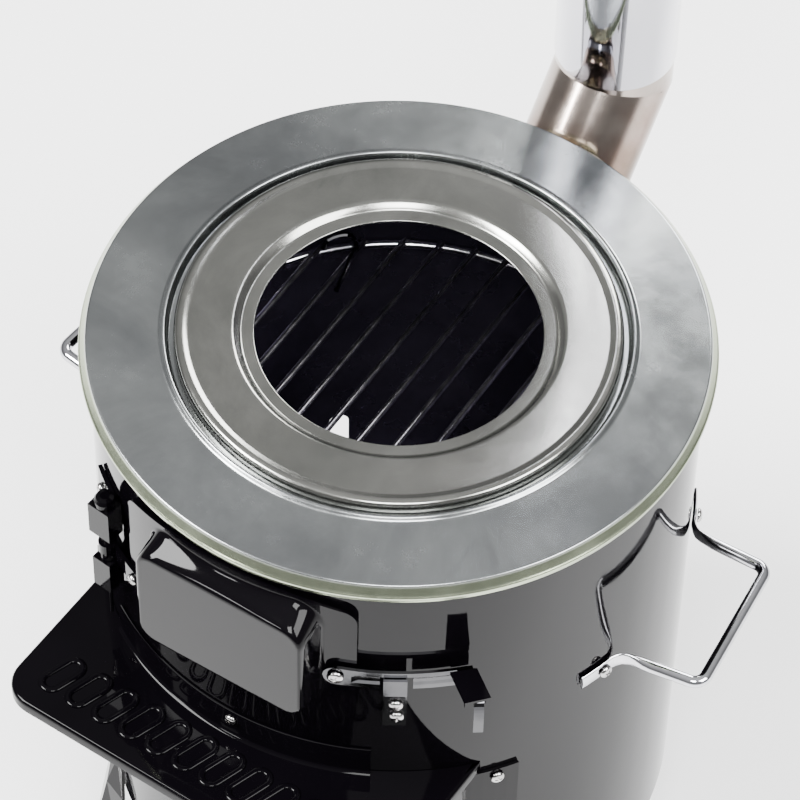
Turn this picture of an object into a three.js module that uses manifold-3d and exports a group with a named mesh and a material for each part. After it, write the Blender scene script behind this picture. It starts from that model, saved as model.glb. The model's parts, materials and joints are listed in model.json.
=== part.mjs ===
// Round portable steel wood stove: a cylindrical fire body on three folded legs, with a hinged front
// door and drop latch, a front shelf, two wire carrying handles, a ringed cook top, a lift-out wire
// grate and a chimney that starts as an elbow on the rear wall.
// Units are millimetres, +Z is up, the front faces -Y. The origin is on the floor, under the centre of
// the object's bounding box.
import * as THREE from 'three';
import * as BufferGeometryUtils from 'three/addons/utils/BufferGeometryUtils.js';
import Module from 'manifold-3d';

const wasm = await Module();
wasm.setup();

// ---- driving dimensions -------------------------------------------------------------------------
const LID_Z = 380;            // height of the cook top's rim face above the floor
const BODY_R = 147.5;         // outside radius of the fire body
const SHEET = 1.2;            // sheet thickness of body, door and shelf
const BODY_TOP = LID_Z - 1.5;  // the cook top rests on this edge
const BODY_BOTTOM = LID_Z - 318;
const GAP = 0.3;              // clearance between touching pieces

const TOP_R = 152.5;          // cook top, outside radius over the rolled rim
const TOP_RIM_DROP = 9.3;     // depth of the cook top's skirt
const RING_R = 107;           // lift-off inner ring, outside radius
const HOLE_R = 68.8;          // centre opening of the inner ring

const GRATE_Z = LID_Z - 90;   // height of the grate's bars
const GRATE_R = 134;          // radius of the grate's rim wire
const GRATE_WIRE = 2.1;
const GRATE_PITCH = 16.9;

const DOOR_R = 150.7;         // outside radius of the curved door sheet
const DOOR_AZ = [-114.5, -64.5];
const DOOR_Z = [LID_Z - 107, LID_Z - 14];
const DOOR_ARCH = 7;          // how much lower the door's top edge is at its two ends
const PANEL_Y = -160;         // plane of the raised flat door panel
const PANEL_X = [-38, 43.5];
const PANEL_Z = [LID_Z - 90, LID_Z - 27.5];
const PANEL_CORNER = 8;
const BEVEL = { side: 6.8, low: 9, top: 9.5 };

const HINGE_R = 154.3;        // hinge pin: distance from the body axis and azimuth
const HINGE_AZ = -121;

const LATCH_Z = LID_Z - 68.5;  // centre line of the latch strap
const LATCH_AZ = -68.1;        // azimuth of its pivot screw
const STRAP_R = 153.7;         // radius of the strap's outer face
const KEEPER_AZ = -57.6;

const SHELF_Z = LID_Z - 153.5; // top face of the shelf
const SHELF_TURN = -1.8;       // the shelf is turned a little about the body's axis, degrees
const SHELF_X = [-103, 114.5];
const SHELF_FRONT = -192.5;
const SHELF_CORNER = 17;

const HANDLE_TURN = 5.3;      // the handles sit this many degrees behind the body's side centre line
const HANDLE_Z = LID_Z - 119;
const HANDLE_WIRE = 3.1;

const CHIMNEY_TURN = 1.5;     // the flue outlet's offset from the rear centre line, degrees
const FLUE_Z = LID_Z - 45;
const PIPE_Y = 209;           // chimney axis, distance behind the body axis
const ELBOW_R = 29.9;
const PIPE_R = 30.75;
const PIPE_WALL = 0.7;
const PIPE_BOTTOM = LID_Z + 9;
const PIPE_LENGTH = 240;

const LEG_AZIMUTHS = { leg_front_left: -131, leg_front_right: -49, leg_rear: 90 };



// ---- helpers --------------------------------------------------------------------------------------
const rad = (d) => d * Math.PI / 180;
const FRONT_REACH = (SHELF_X[1] - SHELF_CORNER) * Math.sin(rad(SHELF_TURN))
  + (SHELF_FRONT + SHELF_CORNER) * Math.cos(rad(SHELF_TURN)) - SHELF_CORNER;
const Y_SHIFT = -(PIPE_Y * Math.cos(rad(CHIMNEY_TURN)) + PIPE_R + FRONT_REACH) / 2;
const polar = (r, az, z = 0) => new THREE.Vector3(r * Math.cos(rad(az)), r * Math.sin(rad(az)), z);

const steel = (color, roughness, metalness = 1) =>
  new THREE.MeshStandardMaterial({ color, roughness, metalness });
const ENAMEL = { color: 0x101014, roughness: 0.08, metalness: 0.3 };
const GALVANISED = { color: 0xb9c0c2, roughness: 0.32, metalness: 1 };
const RING_STEEL = { color: 0xc6cbc8, roughness: 0.28, metalness: 1 };
const CHROME = { color: 0xd8dade, roughness: 0.06, metalness: 1 };
const STAINLESS = { color: 0xd4d2d0, roughness: 0.12, metalness: 1 };
const GRATE_STEEL = { color: 0x8b8b96, roughness: 0.18, metalness: 1 };
const mat = (m) => steel(m.color, m.roughness, m.metalness);

const stove = new THREE.Group();
const body = new THREE.Group();
body.position.set(0, Y_SHIFT, 0);
stove.add(body);
const chimney = new THREE.Group();
chimney.rotation.z = rad(CHIMNEY_TURN);
body.add(chimney);
const shelf = new THREE.Group();
shelf.rotation.z = rad(SHELF_TURN);
body.add(shelf);

function part(name, geometry, material, parent = body) {
  const mesh = new THREE.Mesh(geometry, mat(material));
  mesh.name = name;
  parent.add(mesh);
  return mesh;
}

// A closed lathe about Z from [radius, height] points.
function lathe(points, segments = 72) {
  const pts = points.map(([r, z]) => new THREE.Vector2(r, z));
  const g = new THREE.LatheGeometry(pts, segments);
  g.rotateX(Math.PI / 2);
  return g;
}

function tube(rIn, rOut, z0, z1, segments = 72) {
  return lathe([[rIn, z0], [rOut, z0], [rOut, z1], [rIn, z1], [rIn, z0]], segments);
}

function plain(geometry) {
  let g = geometry.index ? geometry.toNonIndexed() : geometry.clone();
  g.deleteAttribute('normal');
  if (g.attributes.uv) g.deleteAttribute('uv');
  return BufferGeometryUtils.mergeVertices(g, 1e-4);
}

function solid(geometry) {
  const g = plain(geometry);
  const mesh = new wasm.Mesh({
    numProp: 3,
    vertProperties: new Float32Array(g.attributes.position.array),
    triVerts: new Uint32Array(g.index.array),
  });
  const m = new wasm.Manifold(mesh);
  return m;
}

function fromSolid(m) {
  const mesh = m.getMesh();
  const g = new THREE.BufferGeometry();
  g.setAttribute('position', new THREE.BufferAttribute(new Float32Array(mesh.vertProperties), 3));
  g.setIndex(new THREE.BufferAttribute(new Uint32Array(mesh.triVerts), 1));
  g.computeVertexNormals();
  return g;
}

function cut(geometry, cutters) {
  let m = solid(geometry);
  for (const c of cutters) m = m.subtract(solid(c));
  return fromSolid(m);
}

function join(geometries) {
  let m = solid(geometries[0]);
  for (const g of geometries.slice(1)) m = m.add(solid(g));
  return fromSolid(m);
}

// A closed slab between two surfaces given over a (u, v) grid: front(u, v) and back(u, v).
function slab(us, vs, front, back) {
  const nu = us.length;
  const nv = vs.length;
  const pos = [];
  const push = (p) => pos.push(p.x, p.y, p.z);
  for (const f of [front, back]) {
    for (const v of vs) for (const u of us) push(f(u, v));
  }
  const id = (side, i, j) => side * nu * nv + j * nu + i;
  const idx = [];
  const quad = (a, b, c, d) => idx.push(a, b, c, a, c, d);
  for (let j = 0; j < nv - 1; j++) {
    for (let i = 0; i < nu - 1; i++) {
      quad(id(0, i, j), id(0, i + 1, j), id(0, i + 1, j + 1), id(0, i, j + 1));
      quad(id(1, i, j), id(1, i, j + 1), id(1, i + 1, j + 1), id(1, i + 1, j));
    }
  }
  for (let i = 0; i < nu - 1; i++) {
    quad(id(0, i + 1, 0), id(0, i, 0), id(1, i, 0), id(1, i + 1, 0));
    quad(id(0, i, nv - 1), id(0, i + 1, nv - 1), id(1, i + 1, nv - 1), id(1, i, nv - 1));
  }
  for (let j = 0; j < nv - 1; j++) {
    quad(id(0, 0, j), id(0, 0, j + 1), id(1, 0, j + 1), id(1, 0, j));
    quad(id(0, nu - 1, j + 1), id(0, nu - 1, j), id(1, nu - 1, j), id(1, nu - 1, j + 1));
  }
  const g = new THREE.BufferGeometry();
  g.setAttribute('position', new THREE.BufferAttribute(new Float32Array(pos), 3));
  g.setIndex(idx);
  g.computeVertexNormals();
  return g;
}

const span = (a, b, n) => Array.from({ length: n + 1 }, (_, i) => a + (b - a) * i / n);

// A sheet that follows the body's curve between two azimuths and two heights.
function curvedPlate(rIn, rOut, az0, az1, z0, z1, n = 6) {
  return slab(span(az0, az1, n), [z0, z1], (a, z) => polar(rOut, a, z), (a, z) => polar(rIn, a, z));
}

// A block with its long axis vertical, turned to face outward at an azimuth.
function block(r0, r1, width, z0, z1, az) {
  const g = new THREE.BoxGeometry(r1 - r0, width, z1 - z0);
  g.translate((r0 + r1) / 2, 0, (z0 + z1) / 2);
  g.rotateZ(rad(az));
  return g;
}

function round(radius, z0, z1, x, y, segments = 20) {
  const g = new THREE.CylinderGeometry(radius, radius, z1 - z0, segments);
  g.rotateX(Math.PI / 2);
  g.translate(x, y, (z0 + z1) / 2);
  return g;
}

// A cylinder along Y.
function roundY(radius, y0, y1, z, segments = 48) {
  const g = new THREE.CylinderGeometry(radius, radius, y1 - y0, segments);
  g.translate(0, (y0 + y1) / 2, z);
  return g;
}

const disc = (radius, sides) => {
  const s = new THREE.Shape();
  for (let i = 0; i < sides; i++) {
    const a = 2 * Math.PI * i / sides;
    if (i === 0) s.moveTo(radius * Math.cos(a), radius * Math.sin(a));
    else s.lineTo(radius * Math.cos(a), radius * Math.sin(a));
  }
  s.closePath();
  return s;
};

function wire(curve, radius, steps, sides = 10) {
  return new THREE.ExtrudeGeometry(disc(radius, sides), { steps, extrudePath: curve, bevelEnabled: false });
}

// A domed cross-head screw, axis along +X at the origin, head standing out by `height`.
function screwHead(radius, height) {
  const r = radius;
  const head = new THREE.LatheGeometry([[0, 0], [r, 0], [r, height * 0.35], [r * 0.82, height * 0.8],
    [r * 0.45, height], [0, height]].map(([a, b]) => new THREE.Vector2(a, b)), 12);
  const w = r * 0.26;
  const slotA = new THREE.BoxGeometry(r * 1.15, height, w);
  slotA.translate(0, height * 0.5 + height * 0.42, 0);
  const slotB = new THREE.BoxGeometry(w, height, r * 1.15);
  slotB.translate(0, height * 0.5 + height * 0.42, 0);
  const g = cut(head, [slotA, slotB]);
  g.rotateZ(-Math.PI / 2);
  return g;
}

function screw(name, r, az, z, radius = 3.9, height = 2.4, turn = 20, material = CHROME, parent = body) {
  const g = screwHead(radius, height);
  g.rotateX(rad(turn));
  g.translate(r, 0, 0);
  g.rotateZ(rad(az));
  g.translate(0, 0, z);
  return part(name, g, material, parent);
}

// ---- fire body -------------------------------------------------------------------------------------
const doorOpening = slab(span(DOOR_AZ[0] + 4, DOOR_AZ[1] - 4, 12), [DOOR_Z[0] + 7, DOOR_Z[1] - 11],
  (a, z) => polar(BODY_R + 12, a, z), (a, z) => polar(BODY_R - 12, a, z));
const flueHole = roundY(27.5, BODY_R - 25, BODY_R + 12, FLUE_Z, 40);
flueHole.rotateZ(rad(CHIMNEY_TURN));
const ventSlots = [134, 46].map((az) => {
  const slot = new THREE.Shape();
  slot.moveTo(-5.5, -17);
  slot.lineTo(5.5, -17);
  slot.lineTo(5.5, 12);
  slot.absarc(0, 12, 5.5, 0, Math.PI, false);
  const g = new THREE.ExtrudeGeometry(slot, { depth: 24, bevelEnabled: false, curveSegments: 8 });
  g.rotateX(Math.PI / 2);
  g.rotateZ(Math.PI / 2);
  g.translate(BODY_R - 12, 0, LID_Z - 264);
  g.rotateZ(rad(az));
  return g;
});
part('body_shell', cut(tube(BODY_R - SHEET, BODY_R, BODY_BOTTOM, BODY_TOP, 96),
  [doorOpening, flueHole, ...ventSlots]), ENAMEL);

const PAN_R = BODY_R - SHEET - GAP;
part('base_pan', lathe([[0, BODY_BOTTOM], [PAN_R, BODY_BOTTOM], [PAN_R, BODY_BOTTOM + 9],
  [PAN_R - 1, BODY_BOTTOM + 9], [PAN_R - 1, BODY_BOTTOM + 1.2], [0, BODY_BOTTOM + 1.2]], 72), ENAMEL);

// Four small angle tabs inside the body carry the grate.
for (const [i, az] of [35, 145, 215, 325].entries()) {
  part(`grate_support_${i + 1}`, join([
    block(GRATE_R - 5, BODY_R - SHEET - 0.5, 14, GRATE_Z - GRATE_WIRE - GAP - 1.5, GRATE_Z - GRATE_WIRE - GAP, az),
    block(BODY_R - SHEET - 2.0, BODY_R - SHEET - 0.5, 14, GRATE_Z - 16, GRATE_Z - GRATE_WIRE - GAP, az),
  ]), GRATE_STEEL);
}

// ---- cook top --------------------------------------------------------------------------------------
const T = 1.2;
part('top_plate', lathe([
  [102, LID_Z - 1.2 - T], [110.2, LID_Z - 1.2 - T], [111.9, LID_Z - 0.2], [113.4, LID_Z + 1.8 - T],
  [148.3, LID_Z - T], [150.5, LID_Z - 4.4], [150.6, LID_Z - TOP_RIM_DROP],
  [151.6, LID_Z - TOP_RIM_DROP], [151.8, LID_Z - 7.4], [TOP_R, LID_Z - 6.6], [TOP_R, LID_Z - 5.4],
  [151.6, LID_Z - 4.5], [149.4, LID_Z - 1.5], [148.9, LID_Z - 0.3], [148.2, LID_Z],
  [114.2, LID_Z + 2.0], [112.6, LID_Z + 3.7], [111.3, LID_Z + 3.6], [110.4, LID_Z + 2.0],
  [109.9, LID_Z - 1.2], [102, LID_Z - 1.2], [102, LID_Z - 1.2 - T],
], 72), GALVANISED);

part('inner_ring', lathe([
  [HOLE_R, LID_Z - 0.2], [75.6, LID_Z - 0.2], [79.2, LID_Z + 3.2], [100.6, LID_Z + 3.3],
  [103.2, LID_Z + 4.2], [105.6, LID_Z + 2.6], [106.0, LID_Z - 0.9], [RING_R, LID_Z - 0.9],
  [RING_R, LID_Z + 3.0], [105.9, LID_Z + 4.9], [103.4, LID_Z + 5.6], [101.2, LID_Z + 4.8],
  [100.2, LID_Z + 4.5], [79.0, LID_Z + 4.5], [76.4, LID_Z + 2.4], [75.2, LID_Z + 1.1],
  [HOLE_R, LID_Z + 1.1], [HOLE_R, LID_Z - 0.2],
], 72), RING_STEEL);

// ---- grate -----------------------------------------------------------------------------------------
// The rim wire is one closed ring and the bars lie on it; all are welded into one piece.
{
  const ring = new THREE.TorusGeometry(GRATE_R - GRATE_WIRE, GRATE_WIRE, 6, 60);
  ring.translate(0, 0, GRATE_Z);
  const pieces = [ring];
  const barR = 1.7;
  for (let k = -7; k <= 7; k++) {
    const x = k * GRATE_PITCH;
    const half = Math.sqrt((GRATE_R - GRATE_WIRE) ** 2 - x * x) + 1.2;
    const bar = new THREE.CylinderGeometry(barR, barR, 2 * half, 6);
    bar.translate(x, 0, GRATE_Z + 2.4);
    pieces.push(bar);
  }
  for (const y of [-62]) {
    const half = Math.sqrt((GRATE_R - GRATE_WIRE) ** 2 - y * y) + 1.2;
    const bar = new THREE.CylinderGeometry(barR, barR, 2 * half, 6);
    bar.rotateZ(Math.PI / 2);
    bar.translate(0, y, GRATE_Z - 0.2);
    pieces.push(bar);
  }
  part('grate', join(pieces), GRATE_STEEL);
}
// A small wire lug for lifting the grate out stands up at its rear left.
{
  const lug = new THREE.CatmullRomCurve3([
    new THREE.Vector3(-98.5, 84.2, GRATE_Z + 5.2), new THREE.Vector3(-97.2, 87.6, GRATE_Z + 9.5),
    new THREE.Vector3(-89.5, 95.2, GRATE_Z + 10.5), new THREE.Vector3(-83.0, 92.0, GRATE_Z + 9.0),
    new THREE.Vector3(-82.0, 84.0, GRATE_Z + 8.0), new THREE.Vector3(-79.5, 74.0, GRATE_Z + 7.0),
    new THREE.Vector3(-77.0, 64.0, GRATE_Z + 6.2)], false, 'centripetal');
  part('grate_lug', wire(lug, 1.5, 30, 8), CHROME);
}

// ---- door ------------------------------------------------------------------------------------------
// Curved sheet with a raised flat panel: the panel's face is a plane, its sides are wide bevels.
{
  const azMid = (DOOR_AZ[0] + DOOR_AZ[1]) / 2;
  const halfAz = (DOOR_AZ[1] - DOOR_AZ[0]) / 2;
  const corner = 9;
  const mm = 180 / (Math.PI * DOOR_R);
  const zTop = (az) => DOOR_Z[1] - DOOR_ARCH * ((az - azMid) / halfAz) ** 2;
  const us = [-1, -0.93, ...span(-0.86, 0.86, 18), 0.93, 1];
  const vs = [0, 0.035, 0.075, ...span(0.11, 0.9, 15), 0.93, 0.965, 1];
  const place = (u, v) => {
    let zLow = DOOR_Z[0];
    let az = azMid + u * halfAz;
    const zHigh = zTop(az);
    let z = zLow + (zHigh - zLow) * v;
    const dEdge = Math.min(z - zLow, zHigh - z);
    if (dEdge < corner) {
      const inset = corner - Math.sqrt(Math.max(0, corner ** 2 - (corner - dEdge) ** 2));
      az = azMid + u * (halfAz - inset * mm);
    }
    return [az, z];
  };
  const smooth = (t) => {
    const c = Math.min(1, Math.max(0, t));
    return c * c * (3 - 2 * c);
  };
  // 1 on the panel's face, falling to 0 over the bevels round its rounded rectangle.
  const panelRise = (x, z) => {
    const [cx, cz] = [(PANEL_X[0] + PANEL_X[1]) / 2, (PANEL_Z[0] + PANEL_Z[1]) / 2];
    const qx = Math.abs(x - cx) - ((PANEL_X[1] - PANEL_X[0]) / 2 - PANEL_CORNER);
    const qz = Math.abs(z - cz) - ((PANEL_Z[1] - PANEL_Z[0]) / 2 - PANEL_CORNER);
    const away = Math.hypot(Math.max(qx, 0), Math.max(qz, 0)) - PANEL_CORNER;
    const turn = Math.atan2(Math.max(qz, 0), Math.max(qx, 0));
    const upright = z > cz ? BEVEL.top : BEVEL.low;
    return 1 - away / (BEVEL.side * Math.cos(turn) ** 2 + upright * Math.sin(turn) ** 2);
  };
  const skin = (thickness) => (u, v) => {
    const [az, z] = place(u, v);
    const base = DOOR_R - thickness;
    const panelR = (-PANEL_Y - thickness) / -Math.sin(rad(az));
    const x = base * Math.cos(rad(az));
    const t = smooth(panelRise(x, z));
    return polar(base + (panelR - base) * t, az, z);
  };
  part('door_panel', slab(us, vs, skin(0), skin(SHEET)), ENAMEL);
}

// ---- hinge -----------------------------------------------------------------------------------------
const pin = polar(HINGE_R, HINGE_AZ);
const PIN_R = 2.0;
const bore = (r = PIN_R + 0.05) => round(r, LID_Z - 160, LID_Z - 20, pin.x, pin.y, 24);
function knuckle(z0, z1, r) {
  return round(r, z0, z1, pin.x, pin.y, 28);
}
// Two body brackets: a rolled knuckle and a curved leaf screwed to the body behind it.
for (const [name, z0, z1] of [['hinge_bracket_upper', LID_Z - 67, LID_Z - 46],
  ['hinge_bracket_lower', LID_Z - 108, LID_Z - 87]]) {
  const leaf = curvedPlate(BODY_R + GAP, BODY_R + GAP + 2.2, HINGE_AZ - 8.5, HINGE_AZ - 0.5, z0, z1, 4);
  // Its clip-shaped front is square to the door, not to the body.
  const clip = new THREE.BoxGeometry(name.endsWith('upper') ? 12.8 : 10.6, 10, z1 - z0);
  clip.rotateZ(rad(-6));
  clip.translate(pin.x, pin.y - 0.6, (z0 + z1) / 2);
  const wall = tube(120, BODY_R + GAP, z0 - 5, z1 + 5, 96);
  part(name, cut(join([knuckle(z0, z1, 5.6), clip, leaf]), [bore(), wall]), ENAMEL);
}
// The door's hinge strap: a knuckle between the brackets and a plate that laps onto the door.
{
  const [z0, z1] = [LID_Z - 86.4, LID_Z - 75.5];
  const lap = curvedPlate(DOOR_R + GAP, DOOR_R + GAP + 1.8, HINGE_AZ + 0.8, HINGE_AZ + 11.5, z0, z1, 6);
  part('hinge_door_strap', cut(join([lap, knuckle(z0, z1, 4.6)]), [bore()]), ENAMEL);
}
// Loose pin with a mushroom head on top and a slim tail below.
part('hinge_pin', lathe([[0, -133], [0.9, -133], [1.0, -113], [PIN_R, -111], [PIN_R, -45.7], [5.4, -45.7],
  [5.4, -42.6], [4.4, -40.8], [2.4, -40.0], [0, -40.0]].map(([r, z]) => [r, z + LID_Z]), 24)
  .translate(pin.x, pin.y, 0), ENAMEL);

const HINGE_SCREW_R = BODY_R + GAP + 2.2 + GAP;
screw('hinge_screw_upper', HINGE_SCREW_R, HINGE_AZ - 6.2, LID_Z - 56.5, 3.0, 2.2, 10);
screw('hinge_screw_lower', HINGE_SCREW_R, HINGE_AZ - 6.2, LID_Z - 97.5, 3.0, 2.2, 50);
screw('hinge_strap_screw', DOOR_R + GAP + 1.8 + GAP, HINGE_AZ + 8.6, LID_Z - 81, 3.2, 2.2, 30);

// ---- latch -----------------------------------------------------------------------------------------
const STRAP_HALF = 6.0;
const STRAP_T = 1.6;
{
  // Strap: a curved bar with a rounded free end at the pivot and a shallow rib along its middle.
  const az0 = -70.4;
  const az1 = -45.0;
  const mm = 180 / (Math.PI * STRAP_R);
  const endR = STRAP_HALF + 0.6;
  const us = [0, 0.01, 0.03, 0.06, 0.1, 0.15, 0.2, ...span(0.25, 1, 14)];
  const vs = [-1, -0.72, -0.5, -0.2, 0.2, 0.5, 0.72, 1];
  const half = (az) => {
    const d = (az - az0) / mm;
    const flat = STRAP_HALF + 0.6 * Math.max(0, 1 - d / 22);
    return d < endR ? Math.max(0.35, Math.sqrt(Math.max(0, endR ** 2 - (endR - d) ** 2))) : flat;
  };
  const rib = (v) => (Math.abs(v) < 0.45 ? -0.6 : 0);
  const strap = slab(us, vs,
    (u, v) => {
      const az = az0 + (az1 - az0) * u;
      return polar(STRAP_R + (az > -65 ? rib(v) : 0), az, LATCH_Z - 0.4 + v * half(az));
    },
    (u, v) => {
      const az = az0 + (az1 - az0) * u;
      return polar(STRAP_R - STRAP_T, az, LATCH_Z - 0.4 + v * half(az));
    });
  // The keeper's upright stands in this notch in the strap's lower edge.
  const notch = curvedPlate(STRAP_R - 6, STRAP_R + 6, KEEPER_AZ - 2.7, KEEPER_AZ + 3.1,
    LATCH_Z - 12, LATCH_Z + 2.7, 4);
  // Arm under the thumb tab, ending in a narrow tongue bent down at the front.
  const arm = new THREE.Shape([[104.6, -111.9], [110.9, -105.7], [122.9, -115.2], [117.6, -121.4]]
    .map(([x, y]) => new THREE.Vector2(x, y)));
  const armPlate = new THREE.ExtrudeGeometry(arm, { depth: 1.6, bevelEnabled: false });
  armPlate.translate(0, 0, LATCH_Z + 2.6);
  const web = block(150.8, 153.4, 9.0, LATCH_Z - 5.5, LATCH_Z + 3.4, -45.6);
  const tongueCurve = new THREE.CatmullRomCurve3([
    new THREE.Vector3(117.6, -113.8, LATCH_Z + 3.3), new THREE.Vector3(120.3, -117.6, LATCH_Z + 3.2),
    new THREE.Vector3(122.6, -120.9, LATCH_Z + 0.6), new THREE.Vector3(123.1, -121.6, LATCH_Z - 5),
    new THREE.Vector3(123.1, -121.6, LATCH_Z - 18.5)], false, 'centripetal');
  const tongueShape = new THREE.Shape([[-0.8, -2.4], [0.8, -2.4], [0.8, 2.4], [-0.8, 2.4]]
    .map(([x, y]) => new THREE.Vector2(x, y)));
  const tongue = new THREE.ExtrudeGeometry(tongueShape,
    { steps: 18, extrudePath: tongueCurve, bevelEnabled: false });
  let m = solid(strap).subtract(solid(notch));
  for (const g of [web, armPlate, tongue]) m = m.add(solid(g));
  const pivotHole = new THREE.CylinderGeometry(2.1, 2.1, 20, 16);
  pivotHole.rotateZ(Math.PI / 2);
  pivotHole.translate(STRAP_R, 0, LATCH_Z);
  pivotHole.rotateZ(rad(LATCH_AZ));
  m = m.subtract(solid(pivotHole));
  part('latch_lever', fromSolid(m), CHROME);
}
{
  // Thumb tab: a wide black plate folded down along its outer edge.
  const plate = new THREE.Shape([[103.0, -115.2], [112.3, -106.4], [126.6, -116.9], [118.2, -126.3]]
    .map(([x, y]) => new THREE.Vector2(x, y)));
  const top = new THREE.ExtrudeGeometry(plate, { depth: 1.5, bevelEnabled: false });
  top.translate(0, 0, LATCH_Z + 4.5);
  const lip = new THREE.Shape([[118.2, -126.3], [126.6, -116.9], [125.5, -115.9], [117.1, -125.3]]
    .map(([x, y]) => new THREE.Vector2(x, y)));
  const lipSolid = new THREE.ExtrudeGeometry(lip, { depth: 3.6, bevelEnabled: false });
  lipSolid.translate(0, 0, LATCH_Z + 2.0);
  const slot = block(168.5, 177, 6.4, LATCH_Z + 1.5, LATCH_Z + 4.4, -44.65);
  part('latch_tab', cut(join([top, lipSolid]), [slot]), ENAMEL);
}
{
  // Pivot screw: a shank that stands on the door and a domed head over the strap.
  const shank = new THREE.CylinderGeometry(2.0, 2.0, 3.4, 16);
  shank.rotateZ(Math.PI / 2);
  shank.translate(DOOR_R + GAP + 1.7, 0, 0);
  const head = screwHead(4.0, 2.4);
  head.rotateX(rad(25));
  head.translate(STRAP_R + GAP, 0, 0);
  const g = join([shank, head]);
  g.rotateZ(rad(LATCH_AZ));
  g.translate(0, 0, LATCH_Z);
  part('latch_pivot_screw', g, CHROME);
}
{
  // Keeper: a base plate on the body, a floor under the strap and an upright in front of it.
  const z = (v) => LID_Z + v;
  const r0 = BODY_R + GAP;
  const side = new THREE.Shape([[r0, z(-111.7)], [r0 + 1.5, z(-111.7)], [r0 + 1.5, z(-78.6)],
    [155.6, z(-78.6)], [155.6, z(-66.6)], [154.1, z(-66.6)], [154.1, z(-77.1)], [r0, z(-77.1)]]
    .map(([x, y]) => new THREE.Vector2(x, y)));
  const g = new THREE.ExtrudeGeometry(side, { depth: 11.2, bevelEnabled: false });
  g.translate(0, 0, -5.6);
  g.rotateX(Math.PI / 2);
  g.rotateZ(rad(KEEPER_AZ));
  // The back of the base plate is relieved to the body's curve.
  part('latch_keeper', cut(g, [tube(130, BODY_R + GAP, LID_Z - 125, LID_Z - 60, 96)]), CHROME);
}
screw('keeper_screw_upper', BODY_R + 1.8 + GAP, KEEPER_AZ + 0.2, LID_Z - 94.0, 3.5, 2.3, 15);
screw('keeper_screw_lower', BODY_R + 1.8 + GAP, KEEPER_AZ + 0.4, LID_Z - 103.4, 3.5, 2.3, 60);

// ---- shelf -----------------------------------------------------------------------------------------
const SHELF_ARC = BODY_R + GAP;
function shelfOutline(inset, arcR) {
  const [x0, x1] = [SHELF_X[0] + inset, SHELF_X[1] - inset];
  const yF = SHELF_FRONT + inset;
  const r = SHELF_CORNER - inset;
  const s = new THREE.Shape();
  const aRight = -Math.acos(x1 / arcR);
  const aLeft = -Math.acos(x0 / arcR);
  s.moveTo(x0, arcR * Math.sin(aLeft));
  s.lineTo(x0, yF + r);
  s.absarc(x0 + r, yF + r, r, Math.PI, 1.5 * Math.PI, false);
  s.lineTo(x1 - r, yF);
  s.absarc(x1 - r, yF + r, r, 1.5 * Math.PI, 2 * Math.PI, false);
  s.lineTo(x1, arcR * Math.sin(aRight));
  s.absarc(0, 0, arcR, aRight, aLeft, true);
  return s;
}
const RINGS = 12;
const RING_START = 22;
const RING_PITCH = 16;
const RING_INSET = 24;
// The outline of a rounded bar: end radius r, straight length from -half to half along Y.
function stadium(r, half) {
  const points = [];
  for (let k = 0; k <= 6; k++) points.push([r * Math.cos(Math.PI * k / 6), half + r * Math.sin(Math.PI * k / 6)]);
  for (let k = 0; k <= 6; k++) points.push([-r * Math.cos(Math.PI * k / 6), -half - r * Math.sin(Math.PI * k / 6)]);
  return points.map(([x, y]) => new THREE.Vector2(x, y));
}
const flat = (shape, z0, depth, curveSegments = 12) => {
  const g = new THREE.ExtrudeGeometry(shape, { depth, bevelEnabled: false, curveSegments });
  g.translate(0, 0, z0);
  return g;
};
{
  const skirt = 7;
  const full = flat(shelfOutline(0, SHELF_ARC), SHELF_Z - skirt, skirt, 20);
  const under = flat(shelfOutline(SHEET, SHELF_ARC - 8), SHELF_Z - skirt - 5, skirt + 5 - SHEET, 20);
  const flange = curvedPlate(SHELF_ARC, SHELF_ARC + SHEET, -120, -60, SHELF_Z - SHEET, SHELF_Z + 19, 16);
  let m = solid(full).subtract(solid(under)).add(solid(flange));
  // A row of plain slanted rings is pressed up along the front.
  for (let k = 0; k < RINGS; k++) {
    const ring = new THREE.Shape(stadium(6.4, 6.4));
    ring.holes.push(new THREE.Path(stadium(3.4, 6.4)));
    const g = new THREE.ExtrudeGeometry(ring, { depth: 1.4, bevelEnabled: false });
    g.rotateZ(rad(-18));
    g.translate(SHELF_X[0] + RING_START + k * RING_PITCH, SHELF_FRONT + RING_INSET, SHELF_Z - 0.3);
    m = m.add(solid(g));
  }
  part('shelf_plate', fromSolid(m), ENAMEL, shelf);
}
screw('shelf_screw', SHELF_ARC + SHEET + GAP, -87.5, SHELF_Z + 12.5, 3.2, 2.2, 40, CHROME, shelf);

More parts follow.
